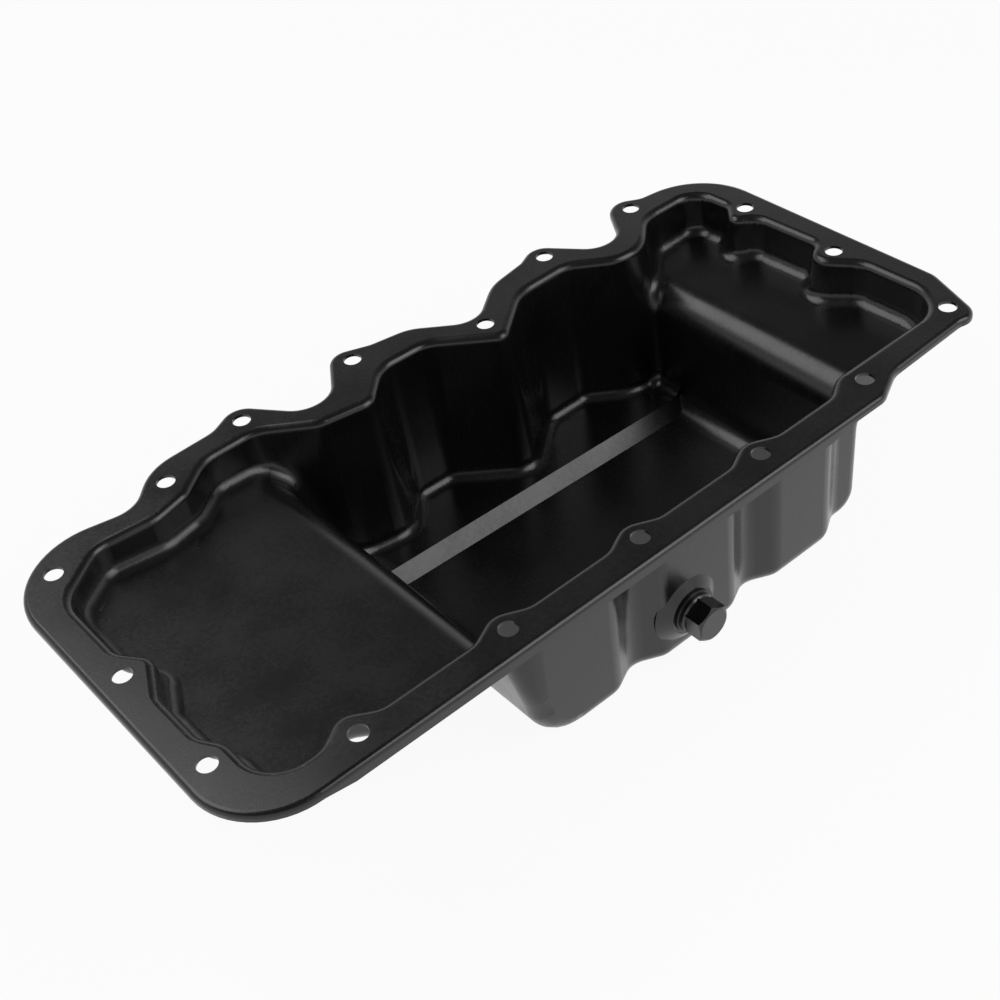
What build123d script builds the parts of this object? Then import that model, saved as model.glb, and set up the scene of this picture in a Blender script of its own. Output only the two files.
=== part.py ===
from build123d import *
import math
import os

# Millimetres. X runs along the pan, Y across it, Z up. The origin is in the plane of the flange's top face
# until the last step, which puts it under the middle of the box, on the ground.

SHEET = 1.5

# Flange
LIP_DROP = 6.5
LIP_DROP_ENDS = 4.0
LIP_DEEP_FROM = -135.0
LIP_DEEP_TO = 130.0
LIP_DEEP_REACH = -40.0
LIP_SLANT = 14.0
FOLD_RADIUS = 2.5
MOUTH_RADIUS = 4.0
HOLE_RADIUS = 4.5

# Depths under the flange's top face, on the inside
TRAY_DEPTH_END = 16.0
TRAY_SLOPE = 0.05
SHELF_DEPTH_END = 22.5
SHELF_SLOPE = 0.08
SUMP_DEPTH = 91.0
STEP_RISE = 7.0

# Bends and feet, on the inside
TRAY_BEND = 16.0
SHELF_BEND = 18.0
FOOT_RADIUS = 7.0

# Draft of the walls in degrees
DRAFT_NEAR = 1.0
DRAFT_BACK = 4.0
DRAFT_ENDS = 2.0

# Front line of the step in the sump's floor, as its Y at two places along X
STEP_LINE = [(-15.0, 72.5), (155.0, 66.5)]

# Drain, on the near wall
DRAIN_X = 54.0
DRAIN_Z = -66.0
SEAT_Y = -60.5
SEAT_RADIUS = 12.5
SEAT_FLARE = 1.5
SEAT_CONE_LENGTH = 4.5
DRAIN_HOLE_RADIUS = 7.25
BOSS_RADIUS = 12.0
BOSS_LENGTH = 10.0
BOSS_CHAMFER = 1.0
WASHER_THICKNESS = 1.5
WASHER_RADIUS = 11.0
WASHER_EDGE = 0.3
THREAD_RADIUS = 7.0
THREAD_PLAY = 0.1
PLUG_COLLAR_RADIUS = 10.0
PLUG_COLLAR = 2.5
PLUG_COLLAR_CHAMFER = 0.8
PLUG_HEX = 17.0
PLUG_HEAD = 12.0
PLUG_CROWN_RADIUS = 7.7
PLUG_CROWN_HEIGHT = 2.0
PLUG_CROWN_FLARE = 1.73
PLUG_SHANK = 18.0
PLUG_SHANK_CHAMFER = 1.2

# Corners as (x, y, radius), clockwise seen from above
FLANGE = [
    (-185.5, -75.5, 36), (-185.5, 136.5, 39), (-116.5, 120.5, 16), (-97.5, 140, 30), (-61.5, 141, 15),
    (-43.5, 150, 11.5), (-13.5, 108.5, 15.5), (12.5, 148, 10), (32, 139.5, 12), (53, 135.5, 23),
    (79.5, 113, 14.5), (105, 132.5, 27), (128.5, 136.5, 7), (143, 143.5, 11), (172.5, 104, 14.5),
    (197.5, 144.5, 11), (213, 134, 10), (255, 128, 39), (255, -31.5, 16.5), (242, -68, 9),
    (231.5, -65, 10.5), (182, -67, 14), (165, -75.5, 12),
]
MOUTH_BACK = [
    (-168, 90, 21), (-142.5, 109, 14.5), (-112, 106, 20), (-93.5, 111, 12), (-75, 125, 18), (-47, 125, 18),
    (-23, 106, 14), (5.5, 100.5, 10), (24.5, 119, 17), (51, 118, 16), (81.5, 91.5, 7), (111, 115, 19),
    (142.5, 115.5, 16), (174, 90, 24), (202, 116.5, 17),
]
MOUTH_RIGHT = [
    (236, 116, 13), (237, 93, 7), (226, 79.5, 6), (238, 72, 12), (239.5, 32.5, 7), (224, 24, 10),
    (239.5, 2, 15), (240.5, -49.5, 22), (161, -49.5, 12), (148.5, -57, 12),
]
MOUTH_LEFT = [
    (-109, -57, 12), (-123.5, -47.5, 10), (-138, -57, 12), (-161.5, -57, 17), (-161.5, -28, 12),
    (-168, -17, 12), (-168, 12, 12), (-158, 33, 8), (-168, 47, 12),
]
NEAR_NOSES = [98, 25, -48]
NEAR_WALL_Y = -57.0
NOSE_HALF = 15.0
NOSE_Y = -49.5
NOSE_RADIUS = 12.0

HOLES_NEAR = [(-123, -62), (-48, -62), (25, -62), (98, -62), (168, -61)]
HOLES_RIGHT = [(236.5, -53.5), (239, 19.5), (241, 82.5)]
HOLES_BACK = [(202, 129.5), (140.5, 130.5), (81, 107.5), (18, 135), (-47, 136.5), (-96.5, 125)]
HOLES_LEFT = [(-164, 108.5), (-173, 32.5), (-173, -32.5)]

# Outline of the deep sump where it meets the tray and the shelf, at SUMP_TOP_Z, and a little under its floor
SUMP_TOP_Z = -15.0
SUMP_UNDER_FLOOR = 9.0
SUMP_LOW_Z = -SUMP_DEPTH - SUMP_UNDER_FLOOR
SUMP_TOP = [(-48, -130, 0), (-48, 190, 0), (181, 190, 0), (181, -130, 0)]
SUMP_LOW = [(-28, -130, 0), (-28, 190, 0), (179, 190, 0), (179, -130, 0)]
SUMP_FOOT_LEFT = 24.0
SUMP_FOOT_RIGHT = 12.0
STEP_FOOT_RIGHT = 10.0
STEP_TOP_Z = -55.0

# Faces that only cut are set this far off, and cutters run this far past what they cut
LOW_Z = -130.0
HIGH_Z = 60.0
FAR_LEFT = -300.0
FAR_RIGHT = 350.0
FAR_NEAR = -150.0
FAR_BACK = 200.0
FIELD_X = 700.0
FIELD_Y = 500.0
FIELD_Z = 20.0
CLEAR = 5.0
HOLE_CUT = 10.0
DRAIN_CUT = 12.0

# Level at which the deep body joins the flange's sheet, inside its thickness
BODY_TOP = -0.5

STANDING = (Align.CENTER, Align.CENTER, Align.MIN)
HANGING = (Align.CENTER, Align.CENTER, Align.MAX)


def near_noses():
    """Corners of the near wall between its ends, right to left, with a nose at each bolt hole."""
    corners = []
    for x in NEAR_NOSES:
        corners.append((x + NOSE_HALF, NEAR_WALL_Y, NOSE_RADIUS))
        corners.append((x, NOSE_Y, NOSE_RADIUS))
        corners.append((x - NOSE_HALF, NEAR_WALL_Y, NOSE_RADIUS))
    return corners


def mouth():
    return MOUTH_BACK + MOUTH_RIGHT + near_noses() + MOUTH_LEFT


def mouth_leans():
    """Draft angle of the wall over every side of the mouth, by the way it faces."""
    corners = mouth()
    leans = []
    for i in range(len(corners)):
        a, b = corners[i], corners[(i + 1) % len(corners)]
        across = (b[0] - a[0]) / math.dist(a[:2], b[:2])
        if across > 0.3:
            leans.append(DRAFT_BACK)
        elif across < -0.3:
            leans.append(DRAFT_NEAR)
        else:
            leans.append(DRAFT_ENDS)
    return leans


def moved(corners, distances):
    """The corners after each side has moved out by its own distance."""
    count = len(corners)
    sides = []
    for i in range(count):
        a, b = corners[i], corners[(i + 1) % count]
        length = math.dist(a[:2], b[:2])
        ux, uy = (b[0] - a[0]) / length, (b[1] - a[1]) / length
        sides.append((a[0] - uy * distances[i], a[1] + ux * distances[i], ux, uy))
    result = []
    for i in range(count):
        px, py, ux, uy = sides[i - 1]
        qx, qy, vx, vy = sides[i]
        turn = ux * vy - uy * vx
        along = ((qx - px) * vy - (qy - py) * vx) / turn
        out = (distances[i - 1] + distances[i]) / 2
        radius = corners[i][2]
        if radius > 0:
            radius += out if turn < 0 else -out
        result.append((px + along * ux, py + along * uy, radius))
    return result


def grown(corners, distance):
    return moved(corners, [distance] * len(corners))


def leaned(corners, leans, depth, grow):
    """The corners on a level further down, where the walls have leaned in, and grown by a sheet's thickness."""
    distances = []
    for lean in leans:
        angle = math.radians(lean)
        distances.append(grow / math.cos(angle) - depth * math.tan(angle))
    return moved(corners, distances)


def rounded(corners, z):
    """Closed wire at height z, with a tangent arc at every corner."""
    count = len(corners)
    arcs = []
    for i in range(count):
        here = Vector(*corners[i][:2])
        back = (Vector(*corners[i - 1][:2]) - here).normalized()
        ahead = (Vector(*corners[(i + 1) % count][:2]) - here).normalized()
        half = math.acos(max(-1.0, min(1.0, back.dot(ahead)))) / 2
        radius = corners[i][2]
        tangent = radius / math.tan(half)
        middle = here + (back + ahead).normalized() * (radius / math.sin(half) - radius)
        arcs.append((here + back * tangent, middle, here + ahead * tangent))
    edges = []
    for i in range(count):
        start, middle, end = arcs[i]
        if corners[i][2] > 0:
            edges.append(ThreePointArc(start, middle, end))
        edges.append(Line(end, arcs[(i + 1) % count][0]))
    return Wire(edges).moved(Location((0, 0, z)))


def prism(corners, low, high):
    return extrude(Face(rounded(corners, low)), high - low, dir=(0, 0, 1))


def slope_block(x_low, x_high, x_ref, depth, slope, grow):
    """Everything over a floor that is depth deep at x_ref and falls by slope along X, between two X."""
    z_low = -(depth + slope * (x_low - x_ref)) - grow
    z_high = -(depth + slope * (x_high - x_ref)) - grow
    y = FAR_NEAR - CLEAR
    profile = Polyline((x_low, y, z_low), (x_high, y, z_high), (x_high, y, HIGH_Z), (x_low, y, HIGH_Z),
                       close=True)
    return extrude(Face(Wire(profile.edges())), FAR_BACK - FAR_NEAR + 2 * CLEAR, dir=(0, 1, 0))


def walls(grow):
    """Everything over the flange and inside the wall of the pan, with the mouth's radius."""
    top = leaned(mouth(), mouth_leans(), 0, grow)
    low = leaned(mouth(), mouth_leans(), -LOW_Z, grow)
    well = Solid.make_loft([rounded(top, 0), rounded(low, LOW_Z)], ruled=True)
    over = Pos(0, 0, -grow) * Box(FIELD_X, FIELD_Y, FIELD_Z, align=STANDING)
    whole = over + well
    edges = whole.edges().filter_by(lambda e: abs(e.center().Z + grow) < 0.01)
    edges = edges.filter_by(lambda e: abs(e.center().X) < FIELD_X / 2 - CLEAR)
    edges = edges.filter_by(lambda e: abs(e.center().Y) < FIELD_Y / 2 - CLEAR)
    return fillet(edges, MOUTH_RADIUS - grow)


def sump_well(grow, depth, foot_right):
    """The deep part, with its left and right feet."""
    z_floor = -depth - grow
    top = rounded(grown(SUMP_TOP, grow), SUMP_TOP_Z)
    low = rounded(grown(SUMP_LOW, grow), SUMP_LOW_Z)
    well = Solid.make_loft([top, low], ruled=True)
    well &= foot_profile(grow, z_floor)
    bottom = well.edges().filter_by(lambda e: abs(e.center().Z - z_floor) < 0.01)
    right = bottom.sort_by(Axis.X)[-1]
    return fillet(right, foot_right + grow)


def foot_profile(grow, z_floor):
    """Everything over the sump's floor and over the large round foot of its left wall."""
    radius = SUMP_FOOT_LEFT + grow
    lean = math.atan2(SUMP_LOW[0][0] - SUMP_TOP[0][0], SUMP_TOP_Z - SUMP_LOW_Z)
    x_foot = SUMP_LOW[0][0] - grow / math.cos(lean) - (z_floor - SUMP_LOW_Z) * math.tan(lean)
    half = (math.pi / 2 + lean) / 2
    reach = radius / math.tan(half)
    y = FAR_NEAR - CLEAR
    low = Vector(x_foot + reach, y, z_floor)
    high = Vector(x_foot - reach * math.sin(lean), y, z_floor + reach * math.cos(lean))
    sweep = (math.pi / 2 - lean) / 2
    middle = Vector(low.X - radius * math.sin(sweep), y, z_floor + radius - radius * math.cos(sweep))
    edges = [
        ThreePointArc(high, middle, low),
        Line(low, (FAR_RIGHT, y, z_floor)),
        Line((FAR_RIGHT, y, z_floor), (FAR_RIGHT, y, HIGH_Z)),
        Line((FAR_RIGHT, y, HIGH_Z), (FAR_LEFT, y, HIGH_Z)),
        Line((FAR_LEFT, y, HIGH_Z), (FAR_LEFT, y, high.Z)),
        Line((FAR_LEFT, y, high.Z), high),
    ]
    return extrude(Face(Wire(edges)), FAR_BACK - FAR_NEAR + 2 * CLEAR, dir=(0, 1, 0))


def behind_step(grow):
    """Everything behind the slanting front of the step in the sump's floor."""
    (x0, y0), (x1, y1) = STEP_LINE
    slope = (y1 - y0) / (x1 - x0)
    x_start, x_end = -75.0, 230.0
    y = y0 + slope * (x_start - x0) + grow * (math.sqrt(2) - 1)
    z = -SUMP_DEPTH - grow
    y_back = FAR_BACK - 10
    profile = Polyline((x_start, y - 4, z - 4), (x_start, y + STEP_RISE, z + STEP_RISE),
                       (x_start, y + STEP_RISE, STEP_TOP_Z), (x_start, y_back, STEP_TOP_Z),
                       (x_start, y_back, z - 4), close=True)
    length = (x_end - x_start) * math.hypot(1, slope)
    return extrude(Face(Wire(profile.edges())), length, dir=(1, slope, 0))


def ground_at(grow, depth, foot_right):
    """Everything under the tray, the shelf and a flat sump floor of that depth."""
    block = Pos(FAR_LEFT, FAR_NEAR, LOW_Z - 10) * Box(FAR_RIGHT - FAR_LEFT, FAR_BACK - FAR_NEAR, -LOW_Z + 10,
                                                    align=(Align.MIN, Align.MIN, Align.MIN))
    block -= slope_block(FAR_LEFT - 5, 60, -160, TRAY_DEPTH_END, TRAY_SLOPE, grow)
    block -= slope_block(60, FAR_RIGHT + 5, 237, SHELF_DEPTH_END, -SHELF_SLOPE, grow)
    block -= sump_well(grow, depth, foot_right)
    shelf_edges = block.edges().filter_by(lambda e: -32 < e.center().Z < -10 and 170 < e.center().X < 200)
    block = fillet(shelf_edges, SHELF_BEND - grow)
    tray_edges = block.edges().filter_by(lambda e: -30 < e.center().Z < -10 and -110 < e.center().X < -20)
    return fillet(tray_edges, TRAY_BEND - grow)


def ground(grow):
    """Everything under the tray, the shelf and the sump's stepped floor."""
    front = ground_at(grow, SUMP_DEPTH, SUMP_FOOT_RIGHT)
    back = ground_at(grow, SUMP_DEPTH - STEP_RISE, STEP_FOOT_RIGHT)
    return front + (back & behind_step(grow))


def foot_edges(solid):
    """Edges between a face that reaches up to the mouth and one that doesn't."""
    beside = {}
    for face in solid.faces():
        high = face.bounding_box().max.Z > -8
        for edge in face.edges():
            beside.setdefault(edge, []).append(high)
    return ShapeList(edge for edge, sides in beside.items() if sorted(sides) == [False, True])


def tool(grow):
    """The room inside the pan, or with a sheet's thickness as grow everything up to its outer face."""
    room = walls(grow) - ground(grow)
    return fillet(foot_edges(room), FOOT_RADIUS + grow)


def on_drain(y):
    """Placement on the drain's axis at y, with Z pointing out of the pan."""
    return Pos(DRAIN_X, y, DRAIN_Z) * Rot(90, 0, 0)


def drain_cone(grow):
    """The cone that is pressed out round the drain."""
    top = SEAT_Y + SHEET - grow
    flat = SEAT_RADIUS - SHEET + grow
    wide = flat + SEAT_FLARE * SEAT_CONE_LENGTH
    return on_drain(top + SEAT_CONE_LENGTH) * Cone(wide, flat, SEAT_CONE_LENGTH, align=STANDING)


def flange():
    """The flange's sheet and the lip that is turned down from its edge."""
    cap = prism(FLANGE, -LIP_DROP, 0)
    cap = fillet(cap.edges().filter_by(lambda e: abs(e.center().Z) < 0.01), FOLD_RADIUS)
    under = prism(grown(FLANGE, -SHEET), -LIP_DROP - CLEAR, -SHEET)
    under = fillet(under.edges().filter_by(lambda e: abs(e.center().Z + SHEET) < 0.01), FOLD_RADIUS - SHEET)
    cut = Pos(0, 0, -LIP_DROP_ENDS) * Box(FIELD_X, FIELD_Y, FIELD_Z, align=HANGING)
    y = FAR_NEAR
    keep = Polyline((LIP_DEEP_FROM - LIP_SLANT, y, -LIP_DROP_ENDS), (LIP_DEEP_FROM, y, -LIP_DROP),
                    (LIP_DEEP_FROM, y, LOW_Z), (LIP_DEEP_TO, y, LOW_Z), (LIP_DEEP_TO, y, -LIP_DROP),
                    (LIP_DEEP_TO + LIP_SLANT, y, -LIP_DROP_ENDS), close=True)
    cut -= extrude(Face(Wire(keep.edges())), LIP_DEEP_REACH - y, dir=(0, 1, 0))
    return cap - under - cut


def pan_shell():
    inner = tool(0) + drain_cone(0)
    body = prism(grown(FLANGE, -CLEAR), LOW_Z - CLEAR, BODY_TOP)
    outer = (tool(SHEET) & body) + drain_cone(SHEET)
    shell = flange() + outer - inner
    places = HOLES_NEAR + HOLES_RIGHT + HOLES_BACK + HOLES_LEFT
    cutters = [Pos(x, y, 0) * Cylinder(HOLE_RADIUS, HOLE_CUT) for x, y in places]
    cutters.append(on_drain(SEAT_Y) * Cylinder(DRAIN_HOLE_RADIUS, DRAIN_CUT))
    return shell - cutters


def drain_boss():
    seat = SEAT_Y + SHEET
    body = on_drain(seat + BOSS_LENGTH) * Cylinder(BOSS_RADIUS - SHEET, BOSS_LENGTH, align=STANDING)
    body = chamfer(body.edges().filter_by(lambda e: e.center().Y > seat + 1), BOSS_CHAMFER)
    return body - on_drain(seat) * Cylinder(THREAD_RADIUS, 4 * BOSS_LENGTH)


def sealing_washer():
    ring = on_drain(SEAT_Y) * Cylinder(WASHER_RADIUS, WASHER_THICKNESS, align=STANDING)
    ring -= on_drain(SEAT_Y) * Cylinder(DRAIN_HOLE_RADIUS, 4 * WASHER_THICKNESS)
    return fillet(ring.edges(), WASHER_EDGE)


def drain_plug():
    seat = SEAT_Y - WASHER_THICKNESS
    collar = on_drain(seat) * Cylinder(PLUG_COLLAR_RADIUS, PLUG_COLLAR, align=STANDING)
    collar = chamfer(collar.edges().filter_by(lambda e: e.center().Y < seat - 1), PLUG_COLLAR_CHAMFER)
    hexagon = RegularPolygon(PLUG_HEX / 2, 6, major_radius=False, rotation=30)
    rise = PLUG_CROWN_HEIGHT
    wide = PLUG_CROWN_RADIUS + rise * PLUG_CROWN_FLARE
    stem = Cylinder(wide, PLUG_HEAD - rise, align=STANDING)
    crown = Pos(0, 0, PLUG_HEAD - rise) * Cone(wide, PLUG_CROWN_RADIUS, rise, align=STANDING)
    head = on_drain(seat) * (extrude(hexagon, PLUG_HEAD) & (stem + crown))
    shank = on_drain(seat + PLUG_SHANK) * Cylinder(THREAD_RADIUS - THREAD_PLAY, PLUG_SHANK, align=STANDING)
    shank = chamfer(shank.edges().filter_by(lambda e: e.center().Y > seat + 1), PLUG_SHANK_CHAMFER)
    return shank + collar + head


def build():
    return {
        "pan_shell": pan_shell(),
        "drain_boss": drain_boss(),
        "sealing_washer": sealing_washer(),
        "drain_plug": drain_plug(),
    }


def main():
    os.makedirs("parts", exist_ok=True)
    pieces = build()
    shell = pieces["pan_shell"].bounding_box()
    plug = pieces["drain_plug"].bounding_box()
    middle_x = (shell.min.X + shell.max.X) / 2
    middle_y = (min(shell.min.Y, plug.min.Y) + shell.max.Y) / 2
    to_ground = Location((-middle_x, -middle_y, -shell.min.Z))
    for name, piece in pieces.items():
        solid = piece.solid().moved(to_ground)
        solid.label = name
        export_step(solid, "parts/" + name + ".step")


if __name__ == "__main__":
    main()
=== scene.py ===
import math

import bpy
from bpy.props import FloatProperty, FloatVectorProperty, IntProperty, PointerProperty
from mathutils import Matrix, Vector


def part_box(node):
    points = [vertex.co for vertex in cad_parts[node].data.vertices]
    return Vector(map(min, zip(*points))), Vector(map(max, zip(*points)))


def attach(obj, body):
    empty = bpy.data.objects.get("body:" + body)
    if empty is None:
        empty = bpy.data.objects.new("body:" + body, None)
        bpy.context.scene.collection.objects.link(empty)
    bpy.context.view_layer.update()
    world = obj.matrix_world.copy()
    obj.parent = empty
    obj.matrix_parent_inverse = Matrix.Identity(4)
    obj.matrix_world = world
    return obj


bl_info = {
    "name": "Engine oil pan",
    "version": (1, 0, 0),
    "blender": (4, 5, 0),
    "location": "View3D > Sidebar > Oil Pan",
    "description": "Finishes a pressed steel engine oil pan: paint, drain plug thread, studio",
    "category": "Object",
}

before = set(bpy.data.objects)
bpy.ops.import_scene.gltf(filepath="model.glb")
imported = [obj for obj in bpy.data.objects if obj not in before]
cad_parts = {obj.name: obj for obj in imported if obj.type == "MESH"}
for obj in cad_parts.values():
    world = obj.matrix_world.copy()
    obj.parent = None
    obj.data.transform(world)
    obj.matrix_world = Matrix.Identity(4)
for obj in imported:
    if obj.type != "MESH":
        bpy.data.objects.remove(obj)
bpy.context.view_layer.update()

# Place and turn of the camera, in metres and degrees, and its lens and sensor in millimetres
CAMERA_SPOT = (-0.33372, -0.47394, 0.55222)
CAMERA_AZIMUTH = 235.70
CAMERA_ELEVATION = 40.91
CAMERA_ROLL = -8.85
CAMERA_LENS = 57.996
CAMERA_SENSOR = 36.0

# Softboxes: size in metres, and where they hang as seen from the pan, in degrees
FRONT_LAMP = {"size": (1.0, 1.0), "azimuth": 303, "elevation": 39}
BACK_LAMP = {"size": (1.5, 0.9), "azimuth": 124, "elevation": 55}
LAMP_DISTANCE = 1.6
LAMP_TARGET = (0.0, 0.0, 0.05)

# Room, by the upward part of a direction: the wall is full up to WALL_TOP, the white backdrop ends at
# BACKDROP_TOP and the ceiling is plain from CEILING_FROM on
WALL_TOP = 0.3
BACKDROP_TOP = 0.45
CEILING_FROM = 0.64

# Floor: half its side in metres, and how white it looks to camera, glossy and transmission rays
FLOOR_HALF = 6.0
FLOOR_WHITE = (0.93, 0.85, 0.85)

# Draw streaks run up the walls, so their noise is stretched along Z. A speck shows where the grain is highest
STREAK_SCALE = 420.0
STREAK_STRETCH = (1.0, 1.0, 0.03)
SPECK_START = 0.7
SPECK_FULL = 0.78

# How many times lighter clouds and specks are than the paint. Over a range of their noise, clouds and streaks
# also add to its roughness
CLOUD_LIGHTER = 1.9
SPECK_LIGHTER = 7.0
CLOUD_RANGE = (0.3, 0.7)
CLOUD_ROUGH = (-0.04, 0.05)
STREAK_RANGE = (0.35, 0.65)
STREAK_ROUGH = (-0.025, 0.025)
BUMP_STRENGTH = 0.35
COAT_ROUGHNESS = 0.25

# Plug and washer beside the shell's paint: times lighter, added roughness and times the peel size. Wave is
# the size of the clouds and peel height that of the peel, in metres, and coat is the share of clear coat
SHELL_FINISH = {"peel_height": 0.00004, "coat": 0.2}
PLUG_FINISH = {
    "shade": 1.6, "rougher": -0.06, "grain": 0.6, "wave": 0.006, "peel_height": 0.00006, "coat": 0.3}
WASHER_FINISH = {
    "shade": 2.2, "rougher": 0.05, "grain": 0.5, "wave": 0.004, "peel_height": 0.00005, "coat": 0.1}


class PaintSettings(bpy.types.PropertyGroup):
    colour: FloatVectorProperty(
        name="Paint colour", description="Colour of the black paint", subtype="COLOR", size=3,
        default=(0.0028, 0.0028, 0.0029), min=0, max=1)
    gloss: FloatProperty(
        name="Paint roughness", description="Roughness of the paint's surface", default=0.26, min=0.05, max=1)
    peel: FloatProperty(
        name="Peel size", description="Size of the paint's fine orange peel", default=0.0011, min=0.0002,
        max=0.01, unit="LENGTH")
    draw: FloatProperty(
        name="Draw wave", description="Size of the soft clouds that pressing leaves in the sheet's gloss",
        default=0.03, min=0.005, max=0.2, unit="LENGTH")


class PlugSettings(bpy.types.PropertyGroup):
    pitch: FloatProperty(
        name="Thread pitch", description="Distance from one turn of the thread to the next", default=0.0015,
        min=0.0005, max=0.003, unit="LENGTH")
    crest: FloatProperty(
        name="Thread crest", description="Radius of the thread's crest", default=0.007, min=0.003, max=0.02,
        unit="LENGTH")
    ridge: FloatProperty(
        name="Thread ridge", description="Half width of the thread's ridge", default=0.00055, min=0.0001,
        max=0.002, unit="LENGTH")
    steps: IntProperty(
        name="Steps a turn", description="Segments in one turn of the thread", default=48, min=12, max=96)


class StudioSettings(bpy.types.PropertyGroup):
    floor: FloatVectorProperty(
        name="Floor colour", description="Colour of the studio floor", subtype="COLOR", size=3,
        default=(0.9, 0.9, 0.9), min=0, max=1)
    wall: FloatProperty(
        name="Wall light", description="Brightness of the pale walls around the pan", default=0.95, min=0,
        max=4)
    ceiling: FloatProperty(
        name="Ceiling light", description="Brightness of the ceiling", default=0.14, min=0, max=4)
    front: FloatProperty(
        name="Front softbox", description="Brightness of the softbox at the front right", default=2.9, min=0,
        max=50)
    back: FloatProperty(
        name="Back softbox", description="Brightness of the softbox at the back left", default=2.5, min=0,
        max=50)


def add_node(tree, kind, **values):
    """New node in a tree, with its plain properties set."""
    node = tree.nodes.new(kind)
    for name, value in values.items():
        setattr(node, name, value)
    return node


def ranged(tree, value, before, after, kind="LINEAR"):
    """Output socket of a value moved from one range to another, and kept inside it."""
    node = add_node(tree, "ShaderNodeMapRange", interpolation_type=kind)
    for label, number in zip(("From Min", "From Max", "To Min", "To Max"), (*before, *after)):
        node.inputs[label].default_value = number
    tree.links.new(value, node.inputs["Value"])
    return node.outputs["Result"]


def lighter(tree, colour, times, mask, below=None):
    """Output socket of a colour, or of the one below it, moved by a mask towards the colour made lighter."""
    mix = add_node(tree, "ShaderNodeMix", data_type="RGBA")
    mix.inputs["A"].default_value = (*colour, 1)
    if below is not None:
        tree.links.new(below, mix.inputs["A"])
    mix.inputs["B"].default_value = (*(c * times for c in colour), 1)
    tree.links.new(mask, mix.inputs["Factor"])
    return mix.outputs["Result"]


def grain_group():
    """Shader group: bump height and masks of a sprayed paint on pressed sheet, from Object coordinates."""
    name = "sprayed grain"
    if name in bpy.data.node_groups:
        return bpy.data.node_groups[name]
    tree = bpy.data.node_groups.new(name, "ShaderNodeTree")
    face = tree.interface
    face.new_socket("Vector", in_out="INPUT", socket_type="NodeSocketVector")
    for label, value in (("Peel Size", 0.001), ("Wave Size", 0.03)):
        face.new_socket(label, in_out="INPUT", socket_type="NodeSocketFloat").default_value = value
    for label in ("Height", "Cloud", "Speck", "Streak"):
        face.new_socket(label, in_out="OUTPUT", socket_type="NodeSocketFloat")
    take = add_node(tree, "NodeGroupInput")
    give = add_node(tree, "NodeGroupOutput")
    links = tree.links

    def scaled_noise(socket, detail, rough):
        over = add_node(tree, "ShaderNodeMath", operation="DIVIDE")
        over.inputs[0].default_value = 1.0
        links.new(take.outputs[socket], over.inputs[1])
        noise = add_node(tree, "ShaderNodeTexNoise")
        noise.inputs["Detail"].default_value = detail
        noise.inputs["Roughness"].default_value = rough
        links.new(take.outputs["Vector"], noise.inputs["Vector"])
        links.new(over.outputs[0], noise.inputs["Scale"])
        return noise

    peel = scaled_noise("Peel Size", detail=3.0, rough=0.55)
    longer = add_node(tree, "ShaderNodeMapping", vector_type="POINT")
    longer.inputs["Scale"].default_value = STREAK_STRETCH
    links.new(take.outputs["Vector"], longer.inputs["Vector"])
    streak = add_node(tree, "ShaderNodeTexNoise")
    streak.inputs["Scale"].default_value = STREAK_SCALE
    streak.inputs["Detail"].default_value = 2.0
    links.new(longer.outputs["Vector"], streak.inputs["Vector"])
    wave = scaled_noise("Wave Size", detail=2.0, rough=0.5)
    speck = ranged(tree, peel.outputs["Fac"], (SPECK_START, SPECK_FULL), (0.0, 1.0))
    links.new(peel.outputs["Fac"], give.inputs["Height"])
    links.new(wave.outputs["Fac"], give.inputs["Cloud"])
    links.new(speck, give.inputs["Speck"])
    links.new(streak.outputs["Fac"], give.inputs["Streak"])
    return tree


def paint_material(name, colour, gloss, peel, wave, peel_height, coat):
    """Satin sprayed paint: base colour, roughness and bump vary with the grain group."""
    material = bpy.data.materials.new(name)
    material.use_nodes = True
    tree = material.node_tree
    tree.nodes.clear()
    links = tree.links
    out = add_node(tree, "ShaderNodeOutputMaterial")
    shader = add_node(tree, "ShaderNodeBsdfPrincipled")
    where = add_node(tree, "ShaderNodeTexCoord")
    grain = add_node(tree, "ShaderNodeGroup", node_tree=grain_group())
    grain.inputs["Peel Size"].default_value = peel
    grain.inputs["Wave Size"].default_value = wave
    links.new(where.outputs["Object"], grain.inputs["Vector"])
    cloud = grain.outputs["Cloud"]
    cloudy = lighter(tree, colour, CLOUD_LIGHTER, cloud)
    dusty = lighter(tree, colour, SPECK_LIGHTER, grain.outputs["Speck"], below=cloudy)
    links.new(dusty, shader.inputs["Base Color"])
    sheen = add_node(tree, "ShaderNodeMath", operation="ADD")
    links.new(ranged(tree, cloud, CLOUD_RANGE, [gloss + more for more in CLOUD_ROUGH]), sheen.inputs[0])
    links.new(ranged(tree, grain.outputs["Streak"], STREAK_RANGE, STREAK_ROUGH), sheen.inputs[1])
    links.new(sheen.outputs[0], shader.inputs["Roughness"])
    bump = add_node(tree, "ShaderNodeBump")
    bump.inputs["Strength"].default_value = BUMP_STRENGTH
    bump.inputs["Distance"].default_value = peel_height
    links.new(grain.outputs["Height"], bump.inputs["Height"])
    links.new(bump.outputs["Normal"], shader.inputs["Normal"])
    shader.inputs["IOR"].default_value = 1.5
    shader.inputs["Coat Weight"].default_value = coat
    shader.inputs["Coat Roughness"].default_value = COAT_ROUGHNESS
    links.new(shader.outputs["BSDF"], out.inputs["Surface"])
    return material


def finish_beside(paint, name, shade, rougher, grain, **rest):
    """Material made from the shell's paint settings, with its own shade, roughness and grain."""
    return paint_material(
        name, [c * shade for c in paint.colour], gloss=paint.gloss + rougher, peel=paint.peel * grain, **rest)


def dress(node, material):
    """Gives a frame node its material."""
    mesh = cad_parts[node].data
    mesh.materials.clear()
    mesh.materials.append(material)


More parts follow.
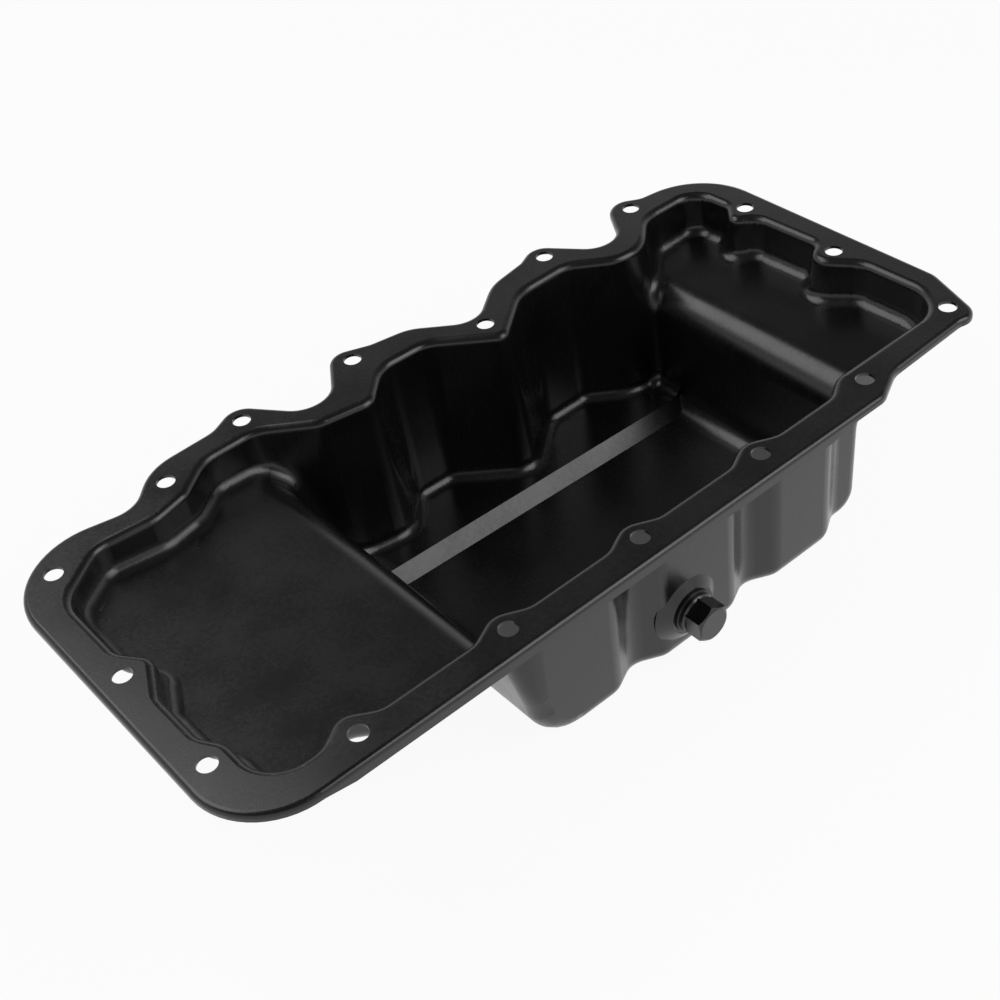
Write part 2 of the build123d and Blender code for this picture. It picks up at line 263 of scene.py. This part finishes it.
class OILPAN_OT_paint(bpy.types.Operator):
    """Paint the pressed pan and the nut inside it"""
    bl_idname = "oilpan.paint"
    bl_label = "Paint the pan"

    def execute(self, context):
        s = context.scene.oilpan_paint
        shell = paint_material(
            "black pan paint", s.colour, gloss=s.gloss, peel=s.peel, wave=s.draw, **SHELL_FINISH)
        dress("pan_shell", shell)
        dress("drain_boss", shell)
        return {"FINISHED"}


def thread_tree():
    """Geometry tree of a thread's ridge that winds along +Y, and its inputs' identifiers by name."""
    tree = bpy.data.node_groups.new("thread ridge", "GeometryNodeTree")
    face = tree.interface
    face.new_socket("Geometry", in_out="OUTPUT", socket_type="NodeSocketGeometry")
    keys = {}
    for label, kind in (("Radius", "Float"), ("Pitch", "Float"), ("Ridge", "Float"), ("Length", "Float"),
                        ("Steps", "Int"), ("Start", "Vector"), ("Finish", "Material")):
        keys[label] = face.new_socket(label, in_out="INPUT", socket_type="NodeSocket" + kind).identifier
    take = add_node(tree, "NodeGroupInput")
    give = add_node(tree, "NodeGroupOutput")
    links = tree.links
    turns = add_node(tree, "ShaderNodeMath", operation="DIVIDE")
    links.new(take.outputs["Length"], turns.inputs[0])
    links.new(take.outputs["Pitch"], turns.inputs[1])
    middle = add_node(tree, "ShaderNodeMath", operation="SUBTRACT")
    links.new(take.outputs["Radius"], middle.inputs[0])
    links.new(take.outputs["Ridge"], middle.inputs[1])
    spiral = add_node(tree, "GeometryNodeCurveSpiral")
    links.new(take.outputs["Steps"], spiral.inputs["Resolution"])
    links.new(turns.outputs[0], spiral.inputs["Rotations"])
    links.new(middle.outputs[0], spiral.inputs["Start Radius"])
    links.new(middle.outputs[0], spiral.inputs["End Radius"])
    links.new(take.outputs["Length"], spiral.inputs["Height"])
    section = add_node(tree, "GeometryNodeCurvePrimitiveCircle", mode="RADIUS")
    section.inputs["Resolution"].default_value = 4
    links.new(take.outputs["Ridge"], section.inputs["Radius"])
    sweep = add_node(tree, "GeometryNodeCurveToMesh")
    sweep.inputs["Fill Caps"].default_value = True
    links.new(spiral.outputs["Curve"], sweep.inputs["Curve"])
    links.new(section.outputs["Curve"], sweep.inputs["Profile Curve"])
    place = add_node(tree, "GeometryNodeTransform")
    place.inputs["Rotation"].default_value = (math.radians(-90), 0.0, 0.0)
    links.new(sweep.outputs["Mesh"], place.inputs["Geometry"])
    links.new(take.outputs["Start"], place.inputs["Translation"])
    whole = add_node(tree, "GeometryNodeRealizeInstances")
    links.new(place.outputs["Geometry"], whole.inputs["Geometry"])
    finish = add_node(tree, "GeometryNodeSetMaterial")
    links.new(whole.outputs["Geometry"], finish.inputs["Geometry"])
    links.new(take.outputs["Finish"], finish.inputs["Material"])
    links.new(finish.outputs["Geometry"], give.inputs["Geometry"])
    return tree, keys


def grown(name, tree, keys, values):
    """Plain mesh object at the origin that a geometry tree makes from its named input values."""
    host = bpy.data.objects.new(name, bpy.data.meshes.new(name))
    bpy.context.scene.collection.objects.link(host)
    live = host.modifiers.new(name, "NODES")
    live.node_group = tree
    for label, value in values.items():
        live[keys[label]] = value
    host.update_tag()
    ready = host.evaluated_get(bpy.context.evaluated_depsgraph_get())
    mesh = bpy.data.meshes.new_from_object(ready)
    host.modifiers.remove(live)
    host.data = mesh
    return host


class OILPAN_OT_plug(bpy.types.Operator):
    """Finish the drain plug and its sealing washer, and cut the thread that shows inside the pan"""
    bl_idname = "oilpan.plug"
    bl_label = "Finish the drain plug"

    def execute(self, context):
        paint = context.scene.oilpan_paint
        t = context.scene.oilpan_plug
        plug = finish_beside(paint, "black plug finish", **PLUG_FINISH)
        washer = finish_beside(paint, "dark washer finish", **WASHER_FINISH)
        dress("drain_plug", plug)
        dress("sealing_washer", washer)
        low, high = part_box("drain_plug")
        nut_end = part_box("drain_boss")[1][1]
        start = ((low[0] + high[0]) / 2, nut_end + t.ridge, (low[2] + high[2]) / 2)
        tree, keys = thread_tree()
        thread = grown("plug_thread", tree, keys, {
            "Radius": t.crest, "Pitch": t.pitch, "Ridge": t.ridge, "Length": high[1] - start[1] - t.ridge,
            "Steps": t.steps, "Start": start, "Finish": plug})
        if not thread.data.polygons:
            raise RuntimeError("the thread came out empty")
        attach(thread, "root")
        return {"FINISHED"}


def softbox(name, brightness, size, azimuth, elevation):
    """Rectangular area lamp of a given surface brightness that faces the pan's middle."""
    az, el = math.radians(azimuth), math.radians(elevation)
    way = Vector((math.cos(el) * math.cos(az), math.cos(el) * math.sin(az), math.sin(el)))
    lamp = bpy.data.lights.new(name, "AREA")
    lamp.energy = brightness * math.pi * size[0] * size[1]
    lamp.shape = "RECTANGLE"
    lamp.size, lamp.size_y = size
    thing = bpy.data.objects.new(name, lamp)
    bpy.context.scene.collection.objects.link(thing)
    thing.location = way * LAMP_DISTANCE + Vector(LAMP_TARGET)
    thing.rotation_euler = (-way).to_track_quat("-Z", "Y").to_euler()


def seen_rays(tree, shares=(1.0, 1.0, 1.0)):
    """Value from 0 to 1 for camera, glossy and transmission rays, each with its share."""
    path = add_node(tree, "ShaderNodeLightPath")
    total = None
    for label, share in zip(("Is Camera Ray", "Is Glossy Ray", "Is Transmission Ray"), shares):
        part = add_node(tree, "ShaderNodeMath", operation="MULTIPLY")
        part.inputs[1].default_value = share
        tree.links.new(path.outputs[label], part.inputs[0])
        if total is None:
            total = part.outputs[0]
            continue
        most = add_node(tree, "ShaderNodeMath", operation="MAXIMUM")
        tree.links.new(total, most.inputs[0])
        tree.links.new(part.outputs[0], most.inputs[1])
        total = most.outputs[0]
    return total


def floor_material(colour):
    """Pale floor that shows near white to the camera and to what mirrors it, and keeps the shadow."""
    material = bpy.data.materials.new("studio floor")
    material.use_nodes = True
    tree = material.node_tree
    tree.nodes.clear()
    links = tree.links
    out = add_node(tree, "ShaderNodeOutputMaterial")
    plain = add_node(tree, "ShaderNodeBsdfPrincipled")
    plain.inputs["Base Color"].default_value = (*colour, 1)
    plain.inputs["Roughness"].default_value = 0.9
    plain.inputs["Specular IOR Level"].default_value = 0.1
    glow = add_node(tree, "ShaderNodeEmission")
    glow.inputs["Color"].default_value = (1, 1, 1, 1)
    glow.inputs["Strength"].default_value = 1.0
    mix = add_node(tree, "ShaderNodeMixShader")
    links.new(seen_rays(tree, FLOOR_WHITE), mix.inputs["Fac"])
    links.new(plain.outputs["BSDF"], mix.inputs[1])
    links.new(glow.outputs["Emission"], mix.inputs[2])
    links.new(mix.outputs["Shader"], out.inputs["Surface"])
    return material


def room(wall, ceiling):
    """World light: pale walls, a dimmer ceiling, and a backdrop that looks white, also in reflections."""
    world = bpy.data.worlds.new("studio room")
    bpy.context.scene.world = world
    world.use_nodes = True
    tree = world.node_tree
    tree.nodes.clear()
    links = tree.links
    out = add_node(tree, "ShaderNodeOutputWorld")
    way = add_node(tree, "ShaderNodeTexCoord")
    parts = add_node(tree, "ShaderNodeSeparateXYZ")
    links.new(way.outputs["Generated"], parts.inputs[0])
    upward = parts.outputs["Z"]
    plain = add_node(tree, "ShaderNodeBackground")
    level = ranged(tree, upward, (WALL_TOP, CEILING_FROM), (wall, ceiling), "SMOOTHSTEP")
    links.new(level, plain.inputs["Strength"])
    white = add_node(tree, "ShaderNodeBackground")
    white.inputs["Strength"].default_value = 1.0
    backdrop = add_node(tree, "ShaderNodeMath", operation="MULTIPLY")
    links.new(seen_rays(tree), backdrop.inputs[0])
    links.new(ranged(tree, upward, (WALL_TOP, BACKDROP_TOP), (1.0, 0.0), "SMOOTHSTEP"), backdrop.inputs[1])
    seen = add_node(tree, "ShaderNodeMath", operation="MAXIMUM")
    links.new(seen_rays(tree, (1.0, 0.0, 0.0)), seen.inputs[0])
    links.new(backdrop.outputs[0], seen.inputs[1])
    mix = add_node(tree, "ShaderNodeMixShader")
    links.new(seen.outputs[0], mix.inputs["Fac"])
    links.new(plain.outputs["Background"], mix.inputs[1])
    links.new(white.outputs["Background"], mix.inputs[2])
    links.new(mix.outputs["Shader"], out.inputs["Surface"])


def photo_camera():
    """Camera at the photograph's place, turn and focal length."""
    az, el, roll = (math.radians(a) for a in (CAMERA_AZIMUTH, CAMERA_ELEVATION, CAMERA_ROLL))
    out = Vector((math.cos(el) * math.cos(az), math.cos(el) * math.sin(az), math.sin(el)))
    right = (-out).cross(Vector((0, 0, 1))).normalized()
    up = right.cross(-out)
    leaned_right = math.cos(roll) * right + math.sin(roll) * up
    leaned_up = -math.sin(roll) * right + math.cos(roll) * up
    lens = bpy.data.cameras.new("photo camera")
    lens.sensor_width = CAMERA_SENSOR
    lens.lens = CAMERA_LENS
    lens.clip_start = 0.01
    thing = bpy.data.objects.new("photo camera", lens)
    bpy.context.scene.collection.objects.link(thing)
    turn = Matrix((leaned_right, leaned_up, out)).transposed().to_4x4()
    thing.matrix_world = Matrix.Translation(Vector(CAMERA_SPOT)) @ turn
    bpy.context.scene.camera = thing


class OILPAN_OT_studio(bpy.types.Operator):
    """Set up the floor, the soft light and the camera"""
    bl_idname = "oilpan.studio"
    bl_label = "Set up the studio"

    def execute(self, context):
        s = context.scene.oilpan_studio
        mesh = bpy.data.meshes.new("studio floor")
        corners = [(x * FLOOR_HALF, y * FLOOR_HALF, 0) for x, y in ((-1, -1), (1, -1), (1, 1), (-1, 1))]
        mesh.from_pydata(corners, [], [(0, 1, 2, 3)])
        mesh.materials.append(floor_material(s.floor))
        floor = bpy.data.objects.new("studio floor", mesh)
        context.scene.collection.objects.link(floor)
        softbox("front softbox", s.front, **FRONT_LAMP)
        softbox("back softbox", s.back, **BACK_LAMP)
        room(s.wall, s.ceiling)
        photo_camera()
        context.scene.view_settings.view_transform = "Standard"
        return {"FINISHED"}


class OILPAN_PT_panel(bpy.types.Panel):
    """Panel in the sidebar"""
    bl_idname = "OILPAN_PT_panel"
    bl_label = "Oil Pan"
    bl_space_type = "VIEW_3D"
    bl_region_type = "UI"
    bl_category = "Oil Pan"

    def draw(self, context):
        for operator in (OILPAN_OT_paint, OILPAN_OT_plug, OILPAN_OT_studio):
            self.layout.operator(operator.bl_idname)
        for group in ("oilpan_paint", "oilpan_plug", "oilpan_studio"):
            box = self.layout.box()
            settings = getattr(context.scene, group)
            for name in settings.__annotations__:
                box.prop(settings, name)


CLASSES = (PaintSettings, PlugSettings, StudioSettings, OILPAN_OT_paint, OILPAN_OT_plug, OILPAN_OT_studio,
           OILPAN_PT_panel)


def register():
    for cls in CLASSES:
        bpy.utils.register_class(cls)
    bpy.types.Scene.oilpan_paint = PointerProperty(type=PaintSettings)
    bpy.types.Scene.oilpan_plug = PointerProperty(type=PlugSettings)
    bpy.types.Scene.oilpan_studio = PointerProperty(type=StudioSettings)


def unregister():
    for name in ("oilpan_paint", "oilpan_plug", "oilpan_studio"):
        delattr(bpy.types.Scene, name)
    for cls in reversed(CLASSES):
        bpy.utils.unregister_class(cls)


def main():
    register()
    bpy.ops.oilpan.paint()
    bpy.ops.oilpan.plug()
    bpy.ops.oilpan.studio()


if __name__ == "__main__":
    main()
